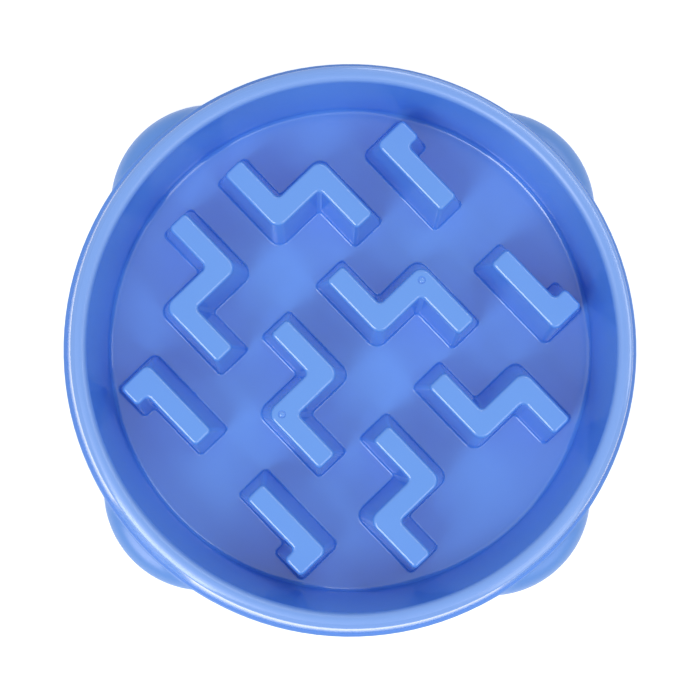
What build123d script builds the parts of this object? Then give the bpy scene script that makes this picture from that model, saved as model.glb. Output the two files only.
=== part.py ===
from build123d import *
import math
import os

# Heights in millimetres above the ground that the rubber feet stand on
foot_drop = 2.0  # rubber standing out below the foot ring
floor_height = 10.0  # upper face of the dish floor
ridge_height = 32.0  # ridge tops above the dish floor
bowl_height = 55.0  # crest of the lip
ledge_height = 14.0  # upper face of the foot ring that the outer side stands on
lip_crown = 0.7  # crest of the lip above its two edges

# Radii from the bowl's axis
floor_radius = 107.0  # where the dish wall would meet the floor
lip_inner_radius = 111.0
lip_outer_radius = 117.4
side_foot_radius = 125.5  # where the outer side meets the foot ring
ledge_radius = 127.0
ring_draft = 1.5  # degrees, wider towards the ground

# Walls
floor_thickness = 2.2
dish_wall = 2.0
side_wall = 2.0  # outer side, foot ring and lobes
ridge_wall = 1.8
lip_thickness = 3.0  # under the lip's edges
ledge_thickness = 2.2
boss_wall = 2.2  # round a foot socket

# Roundings
floor_fillet = 2.0
lip_inner_fillet = 3.0
lip_outer_fillet = 1.0
ledge_fillet = 0.6
ridge_top_fillet = 1.6
ridge_foot_fillet = 1.0
bend_radius = 5.0  # outside of a zigzag's bends
hook_bend_radius = 3.2  # outside of a hooked ridge's bend
arm_end_radius = 2.0  # corners at the ends of the arms
inner_corner_radius = 2.0  # inside of the bends
least_radius = 0.5  # smallest rounding in the hollows under the ridges
lobe_blend = 1.0  # between a foot lobe and the foot ring

# Ridges, measured across their tops
ridge_draft = 6.5  # degrees
arm_width = 9.6
zigzag_pitch = 62.7  # from one zigzag's cross arm to the next
inner_arm_x = 16.4
outer_arm_x = 41.2
arm_reach = 27.8  # end of an arm from the middle of the cross arm
short_arm_reach = 23.8  # the arm of the last zigzag that ends near the wall
hook_bar_x = 72.2
hook_bar_start = 15.6
hook_bar_end = 55.1
hook_tip_x = 83.0
hook_width = 10.0

# Foot lobes
lobe_count = 4
lobe_centre_radius = 90.3
lobe_radius = 45.2
lobe_straight = 1.0  # upright stretch above the ring's lower edge
lobe_round = 9.0  # shoulder above it

# Foot sockets and rubber feet
foot_centre_radius = 117.5
socket_radius = 10.3
socket_depth = 3.5
bore_radius = 6.0
bore_depth = 14.0  # from the boss's end
foot_clearance = 0.15  # round the head and the stem
stem_gap = 1.5  # between the stem's end and the end of the bore
foot_edge_fillet = 1.2
stem_chamfer = 1.0

# Round mark that the moulding gate leaves on top of each middle zigzag
gate_mark_radius = 1.7
gate_nub_radius = 0.9
gate_mark_depth = 0.4

# Levels and slopes worked out from the sizes above
ridge_top = floor_height + ridge_height
floor_underside = floor_height - floor_thickness
lip_edge_height = bowl_height - lip_crown
hollow_top = lip_edge_height - lip_thickness
ring_ceiling = ledge_height - ledge_thickness
lobe_shoulder = foot_drop + lobe_straight
socket_floor = foot_drop + socket_depth
stem_end = foot_drop + bore_depth - stem_gap
boss_radius = socket_radius + boss_wall
boss_top = foot_drop + bore_depth + boss_wall
ridge_slope = math.tan(math.radians(ridge_draft))
ring_slope = math.tan(math.radians(ring_draft))
side_slope = (side_foot_radius - lip_outer_radius) / (lip_edge_height - ledge_height)
side_across = side_wall * math.hypot(1, side_slope)  # the outer side's thickness measured level
wall_slope = (lip_inner_radius - floor_radius) / (lip_edge_height - floor_height)
wall_across = dish_wall * math.hypot(1, wall_slope)  # the wall's thickness measured level
overrun = 1.0  # how far a cut runs past the face that it opens


def dish_radius(height):
    return floor_radius + (height - floor_height) * wall_slope


def side_radius(height):
    return side_foot_radius + (ledge_height - height) * side_slope


def ring_radius(height):
    return ledge_radius + (ledge_height - height) * ring_slope


def zigzag_outline(spread, lower_reach):
    half = arm_width / 2 + spread
    return [
        (inner_arm_x - half, arm_reach + spread),
        (inner_arm_x + half, arm_reach + spread),
        (inner_arm_x + half, half),
        (outer_arm_x + half, half),
        (outer_arm_x + half, -lower_reach - spread),
        (outer_arm_x - half, -lower_reach - spread),
        (outer_arm_x - half, -half),
        (inner_arm_x - half, -half),
    ]


def hook_outline(spread):
    half = arm_width / 2 + spread
    return [
        (hook_bar_x - half, hook_bar_start - spread),
        (hook_bar_x + half, hook_bar_start - spread),
        (hook_bar_x + half, hook_bar_end - hook_width - spread),
        (hook_tip_x + spread, hook_bar_end - hook_width - spread),
        (hook_tip_x + spread, hook_bar_end + spread),
        (hook_bar_x - half, hook_bar_end + spread),
    ]


def ridge_form(outline, bends, insides, bend, inset, base, top):
    """Drafted prism on an outline, with its upright corners rounded; inset makes the hollow inside."""
    with BuildPart() as form:
        for level in (base, top):
            with BuildSketch(Plane.XY.offset(level)):
                with BuildLine():
                    Polyline(*outline((ridge_top - level) * ridge_slope - inset), close=True)
                make_face()
        loft(ruled=True)
        corners = outline((ridge_top - top) * ridge_slope - inset)
        uprights = form.edges().filter_by(lambda edge: abs(edge.tangent_at(0.5).Z) > 0.5)
        at_corner = [uprights.sort_by_distance((*corner, top))[0] for corner in corners]
        ends = [i for i in range(len(corners)) if i not in bends + insides]
        fillet([at_corner[i] for i in bends], max(bend - inset, least_radius))
        fillet([at_corner[i] for i in insides], inner_corner_radius + inset)
        fillet([at_corner[i] for i in ends], max(arm_end_radius - inset, least_radius))
        if inset == 0:
            fillet(form.faces().sort_by(Axis.Z)[-1].edges(), ridge_top_fillet)
    return form.part


def all_ridges(inset, base, top):
    """The ten ridges: three zigzags and two hooked ridges on the right, and their mirror images."""
    zigzag_bends, zigzag_insides = (3, 7), (2, 6)
    long_zigzag = ridge_form(
        lambda spread: zigzag_outline(spread, arm_reach),
        zigzag_bends, zigzag_insides, bend_radius, inset, base, top)
    short_zigzag = ridge_form(
        lambda spread: zigzag_outline(spread, short_arm_reach),
        zigzag_bends, zigzag_insides, bend_radius, inset, base, top)
    hook = ridge_form(hook_outline, (5,), (2,), hook_bend_radius, inset, base, top)
    with BuildPart() as ridges:
        with Locations((0, zigzag_pitch, 0), (0, 0, 0)):
            add(long_zigzag)
        with Locations((0, -zigzag_pitch, 0)):
            add(short_zigzag)
        add(hook)
        mirror(hook, about=Plane.XZ)
        mirror(about=Plane.YZ)
    return ridges.part


def lobe_form(inset):
    """Round-shouldered drum that swells out of the foot ring; inset makes the hollow inside."""
    radius = lobe_radius - inset
    rounding = lobe_round - inset
    top = lobe_shoulder + rounding
    bottom = foot_drop if inset == 0 else foot_drop - overrun
    with BuildPart() as lobe:
        with BuildSketch(Plane.XZ):
            with BuildLine():
                Polyline((0, top), (0, bottom), (radius, bottom), (radius, lobe_shoulder))
                RadiusArc((radius, lobe_shoulder), (radius - rounding, top), -rounding)
                Line((radius - rounding, top), (0, top))
            make_face()
        revolve(axis=Axis.Z)
    return lobe.part


# Sections of the round forms lie between two lobes, so that no seam runs through one
section = Plane.XZ.rotated((0, 0, 180 / lobe_count))

solid_ridges = all_ridges(0, floor_height - floor_thickness / 2, ridge_top)
ridge_hollows = all_ridges(ridge_wall, floor_underside - overrun, ridge_top - ridge_wall)
solid_lobe = lobe_form(0)
lobe_hollow = lobe_form(side_wall)

# Everything open from below: inside the outer side, ring, lobes and ridges, but not the foot bosses
with BuildPart() as underside:
    with BuildSketch(section):
        with BuildLine():
            Polyline(
                (0, foot_drop - overrun),
                (ring_radius(foot_drop - overrun) - side_wall, foot_drop - overrun),
                (ring_radius(ring_ceiling) - side_wall, ring_ceiling),
                (side_radius(ring_ceiling) - side_across, ring_ceiling),
                (side_radius(hollow_top) - side_across, hollow_top),
                (0, hollow_top),
                close=True)
        make_face()
    revolve(axis=Axis.Z)
    with PolarLocations(lobe_centre_radius, lobe_count):
        add(lobe_hollow)
    with BuildSketch(section) as dish_outside:
        with BuildLine():
            Polyline(
                (0, floor_underside),
                (dish_radius(floor_underside) + wall_across, floor_underside),
                (dish_radius(bowl_height) + wall_across, bowl_height),
                (0, bowl_height),
                close=True)
        make_face()
        turn = (dish_radius(floor_underside) + wall_across, floor_underside)
        fillet(dish_outside.vertices().sort_by_distance(turn)[0], floor_fillet + dish_wall)
    revolve(axis=Axis.Z, mode=Mode.SUBTRACT)
    with PolarLocations(foot_centre_radius, lobe_count):
        Cylinder(boss_radius, 2 * boss_top, mode=Mode.SUBTRACT)
    add(ridge_hollows)

# The bowl: lip, outer side and lobes filled in, then the sockets, the dish, its ridges and the open underside
with BuildPart() as bowl:
    with BuildSketch(section) as outside:
        with BuildLine():
            Polyline(
                (lip_inner_radius, lip_edge_height),
                (0, lip_edge_height),
                (0, foot_drop),
                (ring_radius(foot_drop), foot_drop),
                (ledge_radius, ledge_height),
                (side_foot_radius, ledge_height),
                (lip_outer_radius, lip_edge_height))
            ThreePointArc(
                (lip_outer_radius, lip_edge_height),
                ((lip_outer_radius + lip_inner_radius) / 2, bowl_height),
                (lip_inner_radius, lip_edge_height))
        make_face()
        fillet(outside.vertices().sort_by_distance((ledge_radius, ledge_height))[0], ledge_fillet)
        fillet(outside.vertices().sort_by_distance((lip_outer_radius, lip_edge_height))[0], lip_outer_fillet)
    revolve(axis=Axis.Z)
    with PolarLocations(lobe_centre_radius, lobe_count):
        add(solid_lobe)
    foot_ring = bowl.faces().filter_by(GeomType.CONE).sort_by(Axis.Z)[0]
    fillet([edge for edge in foot_ring.edges() if edge.geom_type == GeomType.BSPLINE], lobe_blend)
    with Locations(Location((0, 0, foot_drop), (180, 0, 0))):
        with PolarLocations(foot_centre_radius, lobe_count):
            CounterBoreHole(bore_radius, socket_radius, socket_depth, depth=bore_depth)
    with BuildSketch(section) as dish_inside:
        with BuildLine():
            Polyline(
                (0, floor_height),
                (floor_radius, floor_height),
                (dish_radius(bowl_height), bowl_height),
                (0, bowl_height),
                close=True)
        make_face()
        fillet(dish_inside.vertices().sort_by_distance((floor_radius, floor_height))[0], floor_fillet)
    revolve(axis=Axis.Z, mode=Mode.SUBTRACT)
    crest = bowl.faces().sort_by(Axis.Z)[-1]
    fillet(crest.edges().sort_by(SortBy.LENGTH)[-2], lip_inner_fillet)
    add(solid_ridges)
    dish_floor = bowl.faces().filter_by_position(Axis.Z, floor_height, floor_height).sort_by(SortBy.AREA)[-1]
    fillet([edge for wire in dish_floor.inner_wires() for edge in wire.edges()], ridge_foot_fillet)
    with Locations((-outer_arm_x, 0, ridge_top), (outer_arm_x, 0, ridge_top)):
        Cylinder(gate_mark_radius, 2 * gate_mark_depth, mode=Mode.SUBTRACT)
    with Locations((-outer_arm_x, 0, ridge_top), (outer_arm_x, 0, ridge_top)):
        Cylinder(gate_nub_radius, gate_mark_depth, align=(Align.CENTER, Align.CENTER, Align.MAX))
    add(underside.part, mode=Mode.SUBTRACT)

os.makedirs("parts", exist_ok=True)
bowl.part.label = "bowl"
export_step(bowl.part, "parts/bowl.step")

# One rubber foot in each socket, its head flat on the socket's floor and its stem in the bore
upright = (Align.CENTER, Align.CENTER, Align.MIN)
for number in range(lobe_count):
    with BuildPart(Plane.XY.rotated((0, 0, number * 360 / lobe_count))) as foot:
        with Locations((foot_centre_radius, 0, 0)):
            Cylinder(socket_radius - foot_clearance, socket_floor, align=upright)
        with Locations((foot_centre_radius, 0, socket_floor)):
            Cylinder(bore_radius - foot_clearance, stem_end - socket_floor, align=upright)
        fillet(foot.edges().group_by(Axis.Z)[0], foot_edge_fillet)
        chamfer(foot.edges().group_by(Axis.Z)[-1], stem_chamfer)
    foot.part.label = f"rubber_foot_{number + 1}"
    export_step(foot.part, f"parts/rubber_foot_{number + 1}.step")
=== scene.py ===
import math
import bmesh
import bpy
import numpy as np
from mathutils import Matrix, Vector
from mathutils.geometry import delaunay_2d_cdt


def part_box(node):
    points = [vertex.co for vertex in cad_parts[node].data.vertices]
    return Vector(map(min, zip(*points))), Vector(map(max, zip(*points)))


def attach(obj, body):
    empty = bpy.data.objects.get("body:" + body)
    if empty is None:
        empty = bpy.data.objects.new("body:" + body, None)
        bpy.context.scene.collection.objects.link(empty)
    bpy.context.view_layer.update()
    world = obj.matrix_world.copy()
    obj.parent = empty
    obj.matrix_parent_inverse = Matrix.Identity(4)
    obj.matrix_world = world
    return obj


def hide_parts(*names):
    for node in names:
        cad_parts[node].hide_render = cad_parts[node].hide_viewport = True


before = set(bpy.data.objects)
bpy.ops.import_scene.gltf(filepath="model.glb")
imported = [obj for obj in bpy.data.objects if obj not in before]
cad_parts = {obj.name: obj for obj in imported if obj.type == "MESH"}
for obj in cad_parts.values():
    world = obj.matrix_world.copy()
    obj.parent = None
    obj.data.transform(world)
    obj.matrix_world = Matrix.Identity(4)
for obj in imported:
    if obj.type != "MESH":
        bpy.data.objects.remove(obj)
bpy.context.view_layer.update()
scene = bpy.context.scene
mm = 0.001  # sizes below are in millimetres, meshes are in metres
fillInside, fillWeld = 1, 1e-7  # how level faces are filled: within their edge, points this near made one
noiseMean = 0.5  # the middle value of a noise texture
print("frame loaded:", ", ".join(sorted(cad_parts)))


def insideLoop(spots, loop):
    # true where a line from a spot to the right crosses the loop an odd number of times
    first, last = loop[None], np.roll(loop, -1, axis=0)[None]
    x, y = spots[:, :1], spots[:, 1:]
    passes = (first[..., 1] > y) != (last[..., 1] > y)
    rise = np.where(last[..., 1] == first[..., 1], 1, last[..., 1] - first[..., 1])
    meets = first[..., 0] + (last[..., 0] - first[..., 0]) * (y - first[..., 1]) / rise
    return np.sum(passes & (x < meets), axis=1) % 2 == 1


class Skin:  # gathers the rings and faces of one closed surface
    def __init__(self):
        self.points = np.zeros((0, 3))
        self.faces = []

    def rings(self, x, y, z):  # adds points laid out in rows of closed rings, gives back their numbers
        xyz = np.stack(np.broadcast_arrays(x, y, z), -1)
        start = len(self.points)
        self.points = np.concatenate([self.points, xyz.reshape(-1, 3)])
        return start + np.arange(xyz.size // 3).reshape(xyz.shape[:2])

    def band(self, ids):  # four-sided faces from each ring to the next; a ring runs anticlockwise
        after = np.roll(ids, -1, axis=1)
        quads = np.stack([ids[:-1], after[:-1], after[1:], ids[1:]], -1)
        self.faces += quads.reshape(-1, 4).tolist()

    def flat(self, loops, up):  # fills a level face: the first loop is its edge, the others are holes
        ids = np.concatenate(loops)
        starts = np.cumsum([0] + [len(loop) for loop in loops[:-1]])
        edges = [np.stack([s + np.arange(len(p)), s + np.roll(np.arange(len(p)), -1)], -1)
                 for s, p in zip(starts, loops)]
        spots = self.points[ids, :2].tolist()
        filled = delaunay_2d_cdt(spots, np.concatenate(edges).tolist(), [], fillInside, fillWeld)
        source = np.array([numbers[0] for numbers in filled[3]])
        tris = ids[source[np.array(filled[2])]]
        middles = self.points[tris, :2].mean(axis=1)
        for hole in loops[1:]:
            kept = ~insideLoop(middles, self.points[hole, :2])
            tris, middles = tris[kept], middles[kept]
        a, b, c = (self.points[tris[:, i], :2] for i in range(3))
        turn = (b - a)[:, 0] * (c - a)[:, 1] - (b - a)[:, 1] * (c - a)[:, 0]
        wrong = (turn > 0) != up
        tris[wrong] = tris[wrong][:, ::-1]
        self.faces += tris.tolist()

    def build(self, name):  # the surface as an object at the origin, in metres
        mesh = bpy.data.meshes.new(name)
        mesh.from_pydata((self.points * mm).tolist(), [], self.faces)
        made = bpy.data.objects.new(name, mesh)
        scene.collection.objects.link(made)
        return made


def arc(centre, radius, start, stop, steps):  # points of a circle's arc, angles in degrees
    angle = np.radians(np.linspace(start, stop, steps + 1))
    return np.stack([centre[0] + radius * np.cos(angle), centre[1] + radius * np.sin(angle)], -1)


def polar(radius, degrees):  # one point of a circle about the origin
    angle = math.radians(degrees)
    return radius * np.array([math.cos(angle), math.sin(angle)])


def finishShading(made, sharpAngle, material):  # smooth faces, crisp past the angle, level faces kept level
    made.data.shade_smooth()
    made.data.set_sharp_from_angle(angle=math.radians(sharpAngle))
    weigh = made.modifiers.new("levelFaces", "WEIGHTED_NORMAL")
    weigh.keep_sharp = True
    made.data.materials.clear()
    made.data.materials.append(material)


class Signal:  # a node's output; sums on it add Math nodes
    def __init__(self, socket):
        self.socket = socket
        self.tree = socket.id_data

    @classmethod
    def node(cls, tree, kind, settings, inputs, output=0):  # any node: its settings come before its inputs
        made = tree.nodes.new(kind)
        for name, value in settings.items():
            setattr(made, name, value)
        for name, value in inputs.items():
            if isinstance(value, cls):
                tree.links.new(value.socket, made.inputs[name])
            else:
                made.inputs[name].default_value = value
        return cls(made.outputs[output]) if made.outputs else None

    def sum(self, operation, first, second):
        return Signal.node(self.tree, "ShaderNodeMath", {"operation": operation}, {0: first, 1: second})

    def __add__(self, other):
        return self.sum("ADD", self, other)

    def __radd__(self, other):
        return self.sum("ADD", other, self)

    def __sub__(self, other):
        return self.sum("SUBTRACT", self, other)

    def __rsub__(self, other):
        return self.sum("SUBTRACT", other, self)

    def __mul__(self, other):
        return self.sum("MULTIPLY", self, other)

    def __rmul__(self, other):
        return self.sum("MULTIPLY", other, self)


def startMaterial(name):  # an empty node tree and the Object coordinates that its patterns read
    material = bpy.data.materials.new(name)
    material.use_nodes = True
    tree = material.node_tree
    tree.nodes.clear()
    return material, tree, Signal.node(tree, "ShaderNodeTexCoord", {}, {}, "Object")


def closeMaterial(tree, sockets):  # the shader with its values and links, and the output
    shader = Signal.node(tree, "ShaderNodeBsdfPrincipled", {}, sockets)
    Signal.node(tree, "ShaderNodeOutputMaterial", {}, {"Surface": shader})


def noise(tree, place, cloud):  # a cloud is its bumps per metre, detail and roughness
    scale, detail, roughness = cloud
    return Signal.node(tree, "ShaderNodeTexNoise", {},
                       {"Vector": place, "Scale": scale, "Detail": detail, "Roughness": roughness})


def climb(tree, value, start, full):  # 0 up to the start, 1 from full on, straight between
    return Signal.node(tree, "ShaderNodeMapRange", {}, {"Value": value, "From Min": start, "From Max": full})


def tint(tree, factor, first, second):  # a colour between two others; sockets 6 and 7 take the colours
    first, second = (colour if isinstance(colour, Signal) else (*colour, 1) for colour in (first, second))
    sockets = {"Factor": factor, 6: first, 7: second}
    return Signal.node(tree, "ShaderNodeMix", {"data_type": "RGBA"}, sockets, 2)


plastic = {
    "deep": (0.090, 0.283, 0.790),
    "pale": (0.122, 0.330, 0.872),
    "flow": (14.0, 3.0, 0.55),  # broad clouds from the melt's flow
    "haze": (90.0, 4.0, 0.60), "hazeShare": 0.25,  # finer clouds and their part in the colour
    "lip": (0.178, 0.352, 0.808), "lipHighlightShare": 0.9,  # paler along the lip: painted highlight
    "lipStart": 0.0515, "lipFull": 0.0538,  # metres above the ground
    "ringShadeColour": (0.097, 0.280, 0.730),  # painted shade: a darker blue on the foot ring and lobes
    "satinAndShadeStart": 0.1255, "satinAndShadeFull": 0.1268,  # metres from the axis, where the ring's satin and painted shade start and are full
    "rough": 0.12, "roughSpread": 0.06,
    "satin": 0.24, "lipSatin": 0.22,  # how much rougher the ring and the lip are
    "edgeStart": 0.1152, "edgeFull": 0.1162,  # metres from the axis, where the lip is glossy again
    "peel": (260.0, 2.0, 0.40), "grain": (1900.0, 1.0, 0.50), "grainShare": 0.12,
    "rippleStrength": 0.05, "rippleDepth": 0.0004,  # the moulded skin's ripple
    "ior": 1.5,
    "gloss": 0.85,
}


def bluePlastic():
    # colour: clouds between two blues, then painted shade on the ring past a radius and a painted highlight
    # on the lip past a height;
    # roughness: a haze, with satin on the ring and on the lip inside its outer edge; normal: a fine ripple
    material, tree, place = startMaterial("bluePlastic")
    flow, haze, peel, grain = (noise(tree, place, plastic[kind])
                               for kind in ("flow", "haze", "peel", "grain"))
    level = Signal.node(tree, "ShaderNodeVectorMath", {"operation": "MULTIPLY"}, {0: place, 1: (1, 1, 0)})
    away = Signal.node(tree, "ShaderNodeVectorMath", {"operation": "LENGTH"}, {0: level}, "Value")
    upward = {0: place, 1: (0, 0, 1)}
    high = Signal.node(tree, "ShaderNodeVectorMath", {"operation": "DOT_PRODUCT"}, upward, "Value")
    # one mask for the ring's satin roughness and its painted shade
    satin = climb(tree, away, plastic["satinAndShadeStart"], plastic["satinAndShadeFull"])
    lip = climb(tree, high, plastic["lipStart"], plastic["lipFull"])
    outerEdge = climb(tree, away, plastic["edgeStart"], plastic["edgeFull"])
    share = plastic["hazeShare"]
    mixed = tint(tree, flow * (1 - share) + haze * share, plastic["deep"], plastic["pale"])
    # painted shade: the ring and lobes in a darker blue
    mixed = tint(tree, satin, mixed, plastic["ringShadeColour"])
    # painted highlight: the lip's colour paler above a height
    mixed = tint(tree, lip * plastic["lipHighlightShare"], mixed, plastic["lip"])
    rough = plastic["rough"] + plastic["roughSpread"] * (haze - noiseMean)
    rough = rough + plastic["satin"] * satin + plastic["lipSatin"] * lip * (1 - outerEdge)
    ripple = Signal.node(tree, "ShaderNodeBump", {},
                         {"Height": peel + grain * plastic["grainShare"],
                          "Strength": plastic["rippleStrength"], "Distance": plastic["rippleDepth"]})
    closeMaterial(tree, {"Base Color": mixed, "Roughness": rough, "Normal": ripple,
                         "IOR": plastic["ior"], "Specular IOR Level": plastic["gloss"]})
    return material


rubber = {
    "deep": (0.030, 0.030, 0.032),
    "pale": (0.060, 0.060, 0.063),
    "bloom": (120.0, 4.0, 0.6), "bloomSpread": 0.18,  # pale clouds and how far they change the roughness
    "grain": (2600.0, 2.0, 0.6), "grainSpread": 0.10,
    "rough": 0.72,
    "grainStrength": 0.35, "grainDepth": 0.0003,
}


def footRubber():
    # colour: pale clouds on near black; roughness: clouds and grain about a mean; normal: the grain
    material, tree, place = startMaterial("footRubber")
    bloom = noise(tree, place, rubber["bloom"])
    grain = noise(tree, place, rubber["grain"])
    mixed = tint(tree, bloom, rubber["deep"], rubber["pale"])
    rough = rubber["rough"] + rubber["bloomSpread"] * (bloom - noiseMean)
    rough = rough + rubber["grainSpread"] * (grain - noiseMean)
    skin = Signal.node(tree, "ShaderNodeBump", {}, {"Height": grain, "Strength": rubber["grainStrength"],
                                                    "Distance": rubber["grainDepth"]})
    closeMaterial(tree, {"Base Color": mixed, "Roughness": rough, "Normal": skin})
    return material


boxLow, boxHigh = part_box("bowl")
bowl = {  # millimetres and degrees
    "hemZ": boxLow.z / mm, "crestZ": boxHigh.z / mm, "lobeReach": boxHigh.x / mm,
    "floorZ": 10.0, "floorWall": 2.2, "ledgeZ": 14.0, "ledgeWall": 2.2, "crown": 0.7, "lipWall": 3.0,
    "floorRadius": 107.0, "lipInner": 111.0, "lipOuter": 117.4, "sideFoot": 125.5, "ledgeRadius": 127.0,
    "ringDraft": 1.5, "dishWall": 2.0, "sideWall": 2.0,
    "floorRound": 2.0, "lipRound": 3.0, "lipEdgeRound": 1.0, "ledgeRound": 0.6, "hemRound": 0.5,
    "lobeCentre": 90.3, "lobeStraight": 1.0, "lobeRound": 9.0, "lobeBlend": 1.4,
    "lobeFall": 4.0,  # how steeply a lobe falls away above its shoulder
    "lobeSpan": 17.0,  # degrees each side of a lobe where the mesh is finer
    "sharpAngle": 32.0,  # degrees between faces, past which an edge is crisp
    # how finely the stretches of the section and the turn round the axis are divided
    "lipEdgeSteps": 7, "crownSteps": 12, "lipInsideSteps": 8, "floorBendSteps": 8, "ledgeSteps": 6,
    "hemSteps": 4, "ringSteps": 6, "ringInsideSteps": 3, "shoulderSteps": 22, "shoulderInsideSteps": 16,
    "lobeSteps": 85, "betweenLobesSteps": 10,
}
lipEdgeZ = bowl["crestZ"] - bowl["crown"]
underZ = bowl["floorZ"] - bowl["floorWall"]
hollowZ = lipEdgeZ - bowl["lipWall"]
ringCeilingZ = bowl["ledgeZ"] - bowl["ledgeWall"]
shoulderZ = bowl["hemZ"] + bowl["lobeStraight"]
draft = math.radians(bowl["ringDraft"])
lean = math.atan((bowl["lipInner"] - bowl["floorRadius"]) / (lipEdgeZ - bowl["floorZ"]))
flare = math.atan((bowl["sideFoot"] - bowl["lipOuter"]) / (lipEdgeZ - bowl["ledgeZ"]))
wallPlace = bowl["floorRadius"] * math.cos(lean) - bowl["floorZ"] * math.sin(lean)
sidePlace = bowl["sideFoot"] * math.cos(flare) + bowl["ledgeZ"] * math.sin(flare)


def wallRadius(z, outward):  # the dish wall's radius at a level, moved outward square to the wall
    return (wallPlace + outward + z * math.sin(lean)) / math.cos(lean)


def sideRadius(z, inward):  # the same for the flared outer side, moved inward
    return (sidePlace - inward - z * math.sin(flare)) / math.cos(flare)


def ringRadius(z):  # the foot ring's radius at a level: its draft makes it wider downward
    return bowl["ledgeRadius"] + (bowl["ledgeZ"] - z) * math.tan(draft)


def lobeRadius(angle, z, inset):
    # distance from the axis to a foot lobe along a ray: the lobe is a drum about its own axis with a round
    # shoulder, and the ray meets the drum's circle at c cos a + sqrt(r r - c c sin a sin a)
    quarter = math.pi / 2
    off = (angle + quarter / 2) % quarter - quarter / 2
    bend = bowl["lobeRound"] - inset
    above = np.clip((z - shoulderZ) / bend, 0, 1)
    past = np.maximum(z - shoulderZ - bend, 0)
    drum = bowl["lobeReach"] - bowl["lobeCentre"] - inset - bend * (1 - np.sqrt(1 - above ** 2))
    reach = drum ** 2 - (bowl["lobeCentre"] * np.sin(off)) ** 2
    hit = bowl["lobeCentre"] * np.cos(off) + np.sqrt(np.maximum(reach, 0)) - bowl["lobeFall"] * past
    return np.where(reach > 0, hit, 0)


def blendMax(a, b, width):  # the larger of two, plus a parabola that fills the crease where they are near
    return np.maximum(a, b) + np.maximum(width - np.abs(a - b), 0) ** 2 / (4 * width)


def ringOutside(angle, z):  # the ring or the lobe, whichever is further out, blended
    return blendMax(ringRadius(z), lobeRadius(angle, z, 0), bowl["lobeBlend"])


def ringInside(angle, z):  # the same a wall's thickness further in
    wall = bowl["sideWall"]
    return blendMax(ringRadius(z) - wall, lobeRadius(angle, z, wall), bowl["lobeBlend"])


def shoulderLevels(inset, steps):
    # heights from a lobe's upright stretch up over its shoulder, evenly along the round
    bend = bowl["lobeRound"] - inset
    return shoulderZ + bend * np.sin(np.radians(np.linspace(0, 90, steps + 1)))


def lipProfile():
    # from the foot of the outer side up over the crowned lip, then down the dish wall to the floor: the
    # crown is an arc, and a smaller arc touches it and the straight side or wall at each end
    half = (bowl["lipOuter"] - bowl["lipInner"]) / 2
    crownRadius = (half ** 2 + bowl["crown"] ** 2) / (2 * bowl["crown"])
    crownAt = np.array([bowl["lipInner"] + half, bowl["crestZ"] - crownRadius])
    small = bowl["lipEdgeRound"]
    outAcross = sidePlace - small - crownAt[0] * math.cos(flare) - crownAt[1] * math.sin(flare)
    outAngle = math.degrees(math.acos(outAcross / (crownRadius - small)) + flare)
    outAt = crownAt + polar(crownRadius - small, outAngle)
    inner = bowl["lipRound"]
    inAcross = wallPlace + inner - crownAt[0] * math.cos(lean) + crownAt[1] * math.sin(lean)
    inAngle = math.degrees(math.acos(inAcross / (crownRadius - inner)) - lean)
    inAt = crownAt + polar(crownRadius - inner, inAngle)
    floorAt = (wallRadius(bowl["floorZ"] + bowl["floorRound"], -bowl["floorRound"]),
               bowl["floorZ"] + bowl["floorRound"])
    leanAngle = math.degrees(lean)
    return np.concatenate([
        [(bowl["sideFoot"], bowl["ledgeZ"])],
        arc(outAt, small, math.degrees(flare), outAngle, bowl["lipEdgeSteps"]),
        arc(crownAt, crownRadius, outAngle, inAngle, bowl["crownSteps"])[1:-1],
        arc(inAt, inner, inAngle, 180 - leanAngle, bowl["lipInsideSteps"]),
        arc(floorAt, bowl["floorRound"], -leanAngle, -90, bowl["floorBendSteps"]),
    ])


def ledgeProfile():  # the rounding at the ledge's outer edge, from the foot ring up
    small = bowl["ledgeRound"]
    edge = bowl["ledgeRadius"] * math.cos(draft) + bowl["ledgeZ"] * math.sin(draft)
    z = bowl["ledgeZ"] - small
    centre = ((edge - small - z * math.sin(draft)) / math.cos(draft), z)
    return arc(centre, small, bowl["ringDraft"], 90, bowl["ledgeSteps"])


def underProfile():
    # from the floor's underside up the outside of the dish wall, then down inside the outer side
    bend = bowl["floorRound"] + bowl["dishWall"]
    centre = (wallRadius(underZ + bend, bowl["dishWall"] - bend), underZ + bend)
    return np.concatenate([
        arc(centre, bend, -90, -math.degrees(lean), bowl["floorBendSteps"]),
        [(wallRadius(hollowZ, bowl["dishWall"]), hollowZ),
         (sideRadius(hollowZ, bowl["sideWall"]), hollowZ),
         (sideRadius(ringCeilingZ, bowl["sideWall"]), ringCeilingZ)],
    ])


ridge = {  # millimetres and degrees
    "topZ": 42.0, "draft": 6.5, "wall": 1.8, "topRound": 1.6, "footRound": 1.0, "mouthRound": 0.5,
    "width": 9.6, "pitch": 62.7, "innerX": 16.4, "outerX": 41.2, "reach": 27.8, "shortReach": 23.8,
    "hookX": 72.2, "hookStart": 15.6, "hookEnd": 55.1, "hookTip": 83.0, "hookWidth": 10.0,
    "bend": 5.0, "hookBend": 3.2, "armEnd": 2.0, "inside": 2.0, "least": 0.5,  # corner roundings
    "gateRadius": 1.7, "nubRadius": 0.9, "gateDepth": 0.4, "gateEdge": 0.1,
    "cornerSteps": 7, "footSteps": 6, "topSteps": 7, "mouthSteps": 4, "gateSteps": 28,
}
ridgeLean = math.radians(ridge["draft"])


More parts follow.
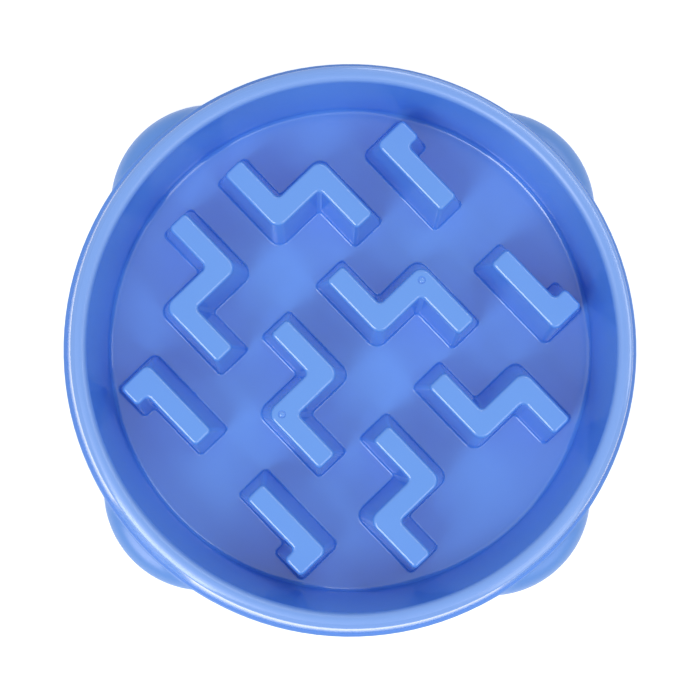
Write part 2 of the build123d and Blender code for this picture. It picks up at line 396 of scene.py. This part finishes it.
def roundedOutline(corners, radii):
    # outline of a square-cornered plan, anticlockwise, with an arc at each corner: points, the way that each
    # moves as the plan grows by one, and the direction square to the outline
    corners = np.array(corners)
    radii = np.array(radii)[:, None, None]
    ahead = np.roll(corners, -1, axis=0) - corners
    ahead = ahead / np.linalg.norm(ahead, axis=1, keepdims=True)
    came = np.roll(ahead, 1, axis=0)
    left = np.stack([-came[:, 1], came[:, 0]], -1)
    side = np.sum(left * ahead, axis=1)[:, None, None]  # 1 at an outer corner, -1 at an inner one
    grow = -left + np.stack([ahead[:, 1], -ahead[:, 0]], -1)
    t = np.linspace(0, math.pi / 2, ridge["cornerSteps"] + 1)[None, :, None]
    square = -left[:, None] * np.cos(t) + side * came[:, None] * np.sin(t)
    centre = corners[:, None] - radii * came[:, None] + side * radii * left[:, None]
    points = centre + side * radii * square
    grow = np.broadcast_to(grow[:, None], points.shape)
    return [part.reshape(-1, 2) for part in (points, grow, square)]


def ridgePlans(inset):
    # the ten ridges' outlines across their tops, or those of the hollows inside: three zigzags and two hooks
    # on one side of the bowl, mirrored to the other
    half = ridge["width"] / 2
    ix, ox, up = ridge["innerX"], ridge["outerX"], ridge["reach"]
    hx, tip, start, end = ridge["hookX"], ridge["hookTip"], ridge["hookStart"], ridge["hookEnd"]
    step = end - ridge["hookWidth"]
    bend, hookBend, corner = (max(ridge[key] - inset, ridge["least"])
                              for key in ("bend", "hookBend", "armEnd"))
    inside = ridge["inside"] + inset
    plans = []
    for row, down in ((1, up), (0, up), (-1, ridge["shortReach"])):
        zigzag = roundedOutline(
            [(ix - half, -half), (ox - half, -half), (ox - half, -down), (ox + half, -down),
             (ox + half, half), (ix + half, half), (ix + half, up), (ix - half, up)],
            [bend, inside, corner, corner, bend, inside, corner, corner])
        plans.append([zigzag[0] + (0, row * ridge["pitch"]), zigzag[1], zigzag[2]])
    hook = roundedOutline(
        [(hx - half, start), (hx + half, start), (hx + half, step),
         (tip, step), (tip, end), (hx - half, end)],
        [corner, corner, inside, corner, corner, hookBend])
    plans += [hook, [part[::-1] * (1, -1) for part in hook]]
    return plans + [[part[::-1] * (-1, 1) for part in plan] for plan in plans]


def ridgeRows():
    # section of a ridge's side from the floor up: how far it stands off a plumb side, and its height
    slope, tilt = math.tan(ridgeLean), ridge["draft"]
    low, top = ridge["footRound"], ridge["topRound"]
    wallZ = bowl["floorZ"] + low * (1 - math.sin(ridgeLean))
    lowAt = ((ridge["topZ"] - wallZ) * slope + low * math.cos(ridgeLean), bowl["floorZ"] + low)
    topAt = (-top * math.tan(math.pi / 4 - ridgeLean / 2), ridge["topZ"] - top)
    return np.concatenate([arc(lowAt, low, 270, 180 + tilt, ridge["footSteps"]),
                           arc(topAt, top, tilt, 90, ridge["topSteps"])])


def hollowRows():  # the same for the hollow under a ridge, from its end down to a rounded mouth
    slope, inset, small = math.tan(ridgeLean), ridge["wall"], ridge["mouthRound"]
    topZ = ridge["topZ"] - inset
    mouthZ = underZ + small
    mouth = (ridge["topZ"] - mouthZ) * slope - inset
    rows = [((ridge["topZ"] - topZ) * slope - inset, topZ)]
    return np.concatenate([rows, arc((mouth + small, mouthZ), small, 180, 270, ridge["mouthSteps"])])


def sweepPlan(skin, plan, rows, inset):
    # carries a section round a plan's outline: the plan grows with the draft, and what the section strays
    # from the drafted side moves its points square to the outline
    points, grow, square = plan
    spread = (ridge["topZ"] - rows[:, 1]) * math.tan(ridgeLean) - inset
    stray = rows[:, 0] - spread
    xy = points + spread[:, None, None] * grow + stray[:, None, None] * square
    ids = skin.rings(xy[..., 0], xy[..., 1], rows[:, 1:])
    skin.band(ids)
    return ids


def sweepCircle(skin, centre, rows, steps):  # carries a section of radius and height round an upright axis
    angle = np.linspace(0, 2 * math.pi, steps, endpoint=False)
    x = centre[0] + rows[:, :1] * np.cos(angle)
    y = centre[1] + rows[:, :1] * np.sin(angle)
    ids = skin.rings(x, y, rows[:, 1:])
    skin.band(ids)
    return ids


def quarterAngles():  # angles round the axis, closer together across the lobes
    span, corner = bowl["lobeSpan"], 45
    plain, fine = bowl["betweenLobesSteps"], bowl["lobeSteps"]
    quarter = np.radians(np.concatenate([
        np.linspace(-corner, -span, plain, endpoint=False),
        np.linspace(-span, span, fine, endpoint=False),
        np.linspace(span, corner, plain, endpoint=False)]))
    return np.concatenate([quarter + k * math.pi / 2 for k in range(4)])


def gateRows():  # section of the gate's mark from its rim down and up onto the nub
    wide, nub, deep = ridge["gateRadius"], ridge["nubRadius"], ridge["gateDepth"]
    edge, top = ridge["gateEdge"], ridge["topZ"]
    nubTop = top - edge / 2
    return np.array([
        (wide, top), (wide - edge, top - edge), (wide - 2 * edge, top - deep),
        (nub + 2 * edge, top - deep), (nub + edge, nubTop - edge), (nub - edge, nubTop)])


def bowlShell():
    # the section goes round the axis as rows of rings: up under the dish, down inside the side and ring,
    # round the hem, up the ring and lobes, over the ledge, side and lip and down to the dish floor; then come
    # the ridges, their hollows and the level faces between
    skin = Skin()
    angle = quarterAngles()[None, :]
    hem = bowl["hemRound"]
    hemTop = bowl["hemZ"] + hem
    ledge, lip, under = ledgeProfile(), lipProfile(), underProfile()
    curl = np.radians(np.linspace(0, 90, bowl["hemSteps"] + 1))[:, None]
    levels = shoulderLevels(bowl["sideWall"], bowl["shoulderInsideSteps"])[::-1]
    above = np.linspace(ringCeilingZ, levels[0], bowl["ringInsideSteps"], endpoint=False)
    downZ = np.concatenate([above, levels, [hemTop]])[:, None]
    levels = shoulderLevels(0, bowl["shoulderSteps"])
    above = np.linspace(levels[-1], ledge[0, 1], bowl["ringSteps"] + 1)[1:]
    upZ = np.concatenate([levels, above])[:, None]
    inside, outside = ringInside(angle, hemTop), ringOutside(angle, hemTop)
    parts = [
        (under[:, :1], under[:, 1:]),
        (ringInside(angle, downZ), downZ),
        (inside + hem * (1 - np.cos(curl[1:])), hemTop - hem * np.sin(curl[1:])),
        (outside - hem * (1 - np.cos(curl[::-1])), hemTop - hem * np.sin(curl[::-1])),
        (ringOutside(angle, upZ), upZ),
        (ledge[1:, :1], ledge[1:, 1:]),
        (lip[:, :1], lip[:, 1:]),
    ]
    full = [np.broadcast_arrays(radius, height, angle) for radius, height in parts]
    radius, height, around = (np.concatenate([part[i] for part in full]) for i in range(3))
    body = skin.rings(radius * np.cos(around), radius * np.sin(around), height)
    skin.band(body)
    feet, tops, mouths = [], [], []
    for plan in ridgePlans(0):
        ids = sweepPlan(skin, plan, ridgeRows(), 0)
        feet.append(ids[0])
        tops.append(ids[-1])
    for plan in ridgePlans(ridge["wall"]):
        ids = sweepPlan(skin, plan, hollowRows(), ridge["wall"])
        mouths.append(ids[-1])
        skin.flat([ids[0]], False)
    skin.flat([body[-1]] + feet, True)
    skin.flat([body[0]] + mouths, False)
    perSide = len(tops) // 2
    for number, loop in enumerate(tops):
        if number % perSide == 1:  # the middle zigzag of each side has a gate's mark
            side = 1 if number < perSide else -1
            gate = sweepCircle(skin, (side * ridge["outerX"], 0), gateRows(), ridge["gateSteps"])
            skin.flat([gate[-1]], True)
            skin.flat([loop, gate[0]], True)
        else:
            skin.flat([loop], True)
    return skin


socket = {
    "radius": 10.3, "depth": 3.5, "bore": 6.0, "boreDepth": 14.0, "wall": 2.2, "round": 0.3,
    "steps": 72, "roundSteps": 3, "roofRings": 14,
    "roofMiddle": 0.4,  # radius of the roof's smallest ring
    "bendMargin": 0.1,  # how far before its end the floor's bend gives way to the wall
}
footNames = [name for name in sorted(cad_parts) if "foot" in name]
footCentres = [(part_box(name)[0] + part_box(name)[1]) / (2 * mm) for name in footNames]


def roofHeight(x, y):
    # a level inside the plastic over a point, from the axis outward: floor, floor bend and dish wall, the
    # boss's own top in the hollow, then the outer side, the ledge and the lobe
    away = np.hypot(x, y)
    along = np.maximum(np.abs(x), np.abs(y)) - bowl["lobeCentre"]
    fromLobe = np.hypot(along, np.minimum(np.abs(x), np.abs(y)))
    middle = bowl["sideWall"] / 2
    bend = bowl["lobeRound"] - middle
    flatRadius = bowl["lobeReach"] - bowl["lobeCentre"] - bowl["lobeRound"]
    lobeZ = shoulderZ + np.sqrt(np.maximum(bend ** 2 - np.maximum(fromLobe - flatRadius, 0) ** 2, 0))
    ledgeMiddle = bowl["ledgeZ"] - bowl["ledgeWall"] / 2
    sideZ = bowl["ledgeZ"] + (sideRadius(bowl["ledgeZ"], middle) - away) / math.tan(flare)
    outer = np.where(away < bowl["ledgeRadius"] - middle, np.maximum(sideZ, ledgeMiddle), lobeZ)
    bendTop = bowl["floorZ"] + bowl["floorRound"]
    bendAt = wallRadius(bendTop, -bowl["floorRound"])
    bend = bowl["floorRound"] + bowl["floorWall"] / 2
    bendZ = bendTop - np.sqrt(np.maximum(bend ** 2 - np.maximum(away - bendAt, 0) ** 2, 0))
    wallZ = bowl["floorZ"] + (away - wallRadius(bowl["floorZ"], bowl["dishWall"] / 2)) / math.tan(lean)
    inner = np.where(away < bendAt + bend - socket["bendMargin"], bendZ, np.maximum(wallZ, bendZ))
    bossTop = bowl["hemZ"] + socket["boreDepth"] + socket["wall"]
    return np.minimum(bossTop, np.where(away < (bowl["lipInner"] + bowl["lipOuter"]) / 2, inner, outer))


def footBosses():
    # a stepped tube for each foot: its section from the bore's end down over the shelf and rim, then up the
    # outside, goes round the foot's axis, and shrinking rings at the roof's height close it
    skin = Skin()
    low, edge, few = bowl["hemZ"], socket["round"], socket["roundSteps"]
    wide = socket["radius"] + socket["wall"]
    shelf, end = low + socket["depth"], low + socket["boreDepth"]
    rows = np.concatenate([
        [(socket["bore"], end), (socket["bore"], shelf + edge)],
        arc((socket["bore"] + edge, shelf + edge), edge, 180, 270, few)[1:],
        [(socket["radius"], shelf)],
        arc((socket["radius"] + edge, low + edge), edge, 180, 270, few),
        arc((wide - edge, low + edge), edge, 270, 360, few),
    ])
    angle = np.linspace(0, 2 * math.pi, socket["steps"], endpoint=False)[None, :]
    shrink = np.linspace(wide, socket["roofMiddle"], socket["roofRings"])[:, None]
    radius = np.concatenate([rows[:, :1], shrink])
    for centre in footCentres:
        x, y = centre.x + radius * np.cos(angle), centre.y + radius * np.sin(angle)
        tube = np.broadcast_to(rows[:, 1:], (len(rows), socket["steps"]))
        z = np.concatenate([tube, roofHeight(x[len(rows):], y[len(rows):])])
        ids = skin.rings(x, y, z)
        skin.band(ids)
        skin.faces += [ids[0][::-1].tolist(), ids[-1].tolist()]
    return skin


def dropSeamPoints(mesh):  # takes out points that only split an edge, so no sliver is left along a seam
    ends = np.zeros(2 * len(mesh.edges), np.int32)
    mesh.edges.foreach_get("vertices", ends)
    spare = np.flatnonzero(np.bincount(ends) == 2)
    whole = bmesh.new()
    whole.from_mesh(mesh)
    whole.verts.ensure_lookup_table()
    bmesh.ops.dissolve_verts(whole, verts=[whole.verts[number] for number in spare])
    whole.to_mesh(mesh)
    whole.free()
    print("seam points taken out:", len(spare))


def makeBowl(material):  # the shell and the bosses under its lobes joined into one closed moulding
    shell = bowlShell().build("bowlMoulding")
    bosses = footBosses().build("footBosses")
    join = shell.modifiers.new("joinBosses", "BOOLEAN")
    join.operation = "UNION"
    join.solver = "EXACT"
    join.object = bosses
    ready = shell.evaluated_get(bpy.context.evaluated_depsgraph_get())
    fused = bpy.data.meshes.new_from_object(ready)
    dropSeamPoints(fused)
    shell.modifiers.clear()
    shell.data = fused
    bpy.data.objects.remove(bosses)
    finishShading(shell, bowl["sharpAngle"], material)
    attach(shell, "root")
    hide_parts("bowl")
    print("bowl moulding made:", len(fused.polygons), "faces")


foot = {
    "clearance": 0.15, "stemGap": 1.5, "edge": 1.2, "chamfer": 1.0, "headChamfer": 0.3,
    "middle": 2.0,  # radius of the innermost ring underneath
    "steps": 64, "edgeSteps": 8, "sharpAngle": 40.0,
}


def makeFoot(name, centre, material):
    # section of the foot from the middle of its underside outward and up over the head and stem, carried
    # round the foot's axis
    skin = Skin()
    wide, stem = socket["radius"] - foot["clearance"], socket["bore"] - foot["clearance"]
    shelf, top = bowl["hemZ"] + socket["depth"], bowl["hemZ"] + socket["boreDepth"] - foot["stemGap"]
    edge, cut, headCut = foot["edge"], foot["chamfer"], foot["headChamfer"]
    rows = np.concatenate([
        [(foot["middle"], 0.0)],
        arc((wide - edge, edge), edge, 270, 360, foot["edgeSteps"]),
        [(wide, shelf - headCut), (wide - headCut, shelf)],
        [(stem, shelf), (stem, top - cut), (stem - cut, top)],
    ])
    ids = sweepCircle(skin, centre, rows, foot["steps"])
    skin.faces += [ids[0][::-1].tolist(), ids[-1].tolist()]
    made = skin.build(name.replace("rubber_foot_", "rubberFoot"))
    finishShading(made, foot["sharpAngle"], material)
    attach(made, "root")
    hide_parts(name)


makeBowl(bluePlastic())
rubberLook = footRubber()
for name, centre in zip(footNames, footCentres):
    makeFoot(name, centre, rubberLook)
print("rubber feet made:", len(footNames))

studio = {
    "floorSize": 12.0,
    "floorColour": (0.90, 0.90, 0.90),
    "floorRough": 0.9,
    "floorGlow": 0.57,  # lifts the floor to white where it is seen, and leaves its shadow
    "speckle": (60.0, 2.0, 0.5), "speckleDepth": 0.01,
    "roomStrength": 0.50, "seenStrength": 1.0,  # the light that the room gives, and the white that shows
}


def seenRays(tree):  # 1 for what the camera sees directly, in a reflection or through something
    straight, mirrored, through = (Signal.node(tree, "ShaderNodeLightPath", {}, {}, kind)
                                   for kind in ("Is Camera Ray", "Is Glossy Ray", "Is Transmission Ray"))
    return straight + mirrored + through


def whiteFloor():  # one level square with a faint speckle
    skin = Skin()
    half = studio["floorSize"] / (2 * mm)
    ids = skin.rings(half * np.array([[-1, 1, 1, -1]]), half * np.array([[-1, -1, 1, 1]]), 0.0)
    skin.faces.append(ids[0].tolist())
    made = skin.build("studioFloor")
    material, tree, place = startMaterial("studioFloor")
    speckle = noise(tree, place, studio["speckle"])
    darker = tuple(value - studio["speckleDepth"] for value in studio["floorColour"])
    mixed = tint(tree, speckle, studio["floorColour"], darker)
    glow = tint(tree, seenRays(tree), (0, 0, 0), (1, 1, 1))
    closeMaterial(tree, {"Base Color": mixed, "Roughness": studio["floorRough"], "Specular IOR Level": 0.0,
                         "Emission Color": glow, "Emission Strength": studio["floorGlow"]})
    made.data.materials.append(material)


def whiteWorld():  # an even light on the part, and plain white wherever the room itself is seen
    world = bpy.data.worlds.new("studioWorld")
    scene.world = world
    world.use_nodes = True
    tree = world.node_tree
    tree.nodes.clear()
    room, white = (
        Signal.node(tree, "ShaderNodeBackground", {}, {"Color": (1, 1, 1, 1), "Strength": strength})
        for strength in (studio["roomStrength"], studio["seenStrength"]))
    mixed = Signal.node(tree, "ShaderNodeMixShader", {}, {0: seenRays(tree), 1: room, 2: white})
    Signal.node(tree, "ShaderNodeOutputWorld", {}, {"Surface": mixed})


camera = {
    "turn": 43.85,  # degrees from the frame's X axis to the picture's right-hand side, clockwise
    "place": (-0.022, -0.006, 0.700),
    "aim": (-0.0014, -0.0003, 0.040),
    "focalPixels": 1550.0, "picturePixels": 700, "sensor": 36.0,
}


def aimObject(made, target, up):
    # turns a lamp or camera to look at a point: its Z axis points back from there, and its X axis is square
    # to that and to the way up
    back = (made.location - target).normalized()
    right = up.cross(back).normalized()
    axes = Matrix((right, back.cross(right), back)).transposed()
    made.matrix_world = Matrix.LocRotScale(made.location, axes.to_quaternion(), Vector((1, 1, 1)))


pictureTurn = math.radians(camera["turn"])
pictureRight = Vector((math.cos(pictureTurn), -math.sin(pictureTurn), 0))
pictureUp = Vector((math.sin(pictureTurn), math.cos(pictureTurn), 0))


def makeCamera():  # the lens is the focal length in pixels over the picture's width, times the sensor's
    data = bpy.data.cameras.new("camera")
    data.sensor_width = camera["sensor"]
    data.lens = camera["focalPixels"] / camera["picturePixels"] * camera["sensor"]
    made = bpy.data.objects.new("camera", data)
    scene.collection.objects.link(made)
    made.location = camera["place"]
    aimObject(made, Vector(camera["aim"]), pictureUp)
    scene.camera = made


panels = {
    "distance": 1.5, "aimZ": 0.03,
    "lamps": {  # degrees round from the picture's right and up from the floor, width, height, watts
        "keyPanel": (226, 50, 0.55, 1.00, 9.2),
        "sidePanel": (314, 50, 0.50, 1.00, 2.8),
        "backStrip": (40, 52, 2.00, 0.22, 5.0),
    },
}


def makePanel(name):  # a soft lamp at its angles round and above the bowl, facing it
    around, above, wide, high, watts = panels["lamps"][name]
    data = bpy.data.lights.new(name, "AREA")
    data.shape = "RECTANGLE"
    data.size, data.size_y = wide, high
    data.energy = watts
    made = bpy.data.objects.new(name, data)
    scene.collection.objects.link(made)
    along, level = math.radians(around), math.radians(above)
    flat = pictureRight * math.cos(along) + pictureUp * math.sin(along)
    made.location = panels["distance"] * (flat * math.cos(level) + Vector((0, 0, math.sin(level))))
    aimObject(made, Vector((0, 0, panels["aimZ"])), Vector((0, 0, 1)))


whiteFloor()
whiteWorld()
makeCamera()
for name in panels["lamps"]:
    makePanel(name)
scene.view_settings.view_transform = "Standard"
print("studio made")
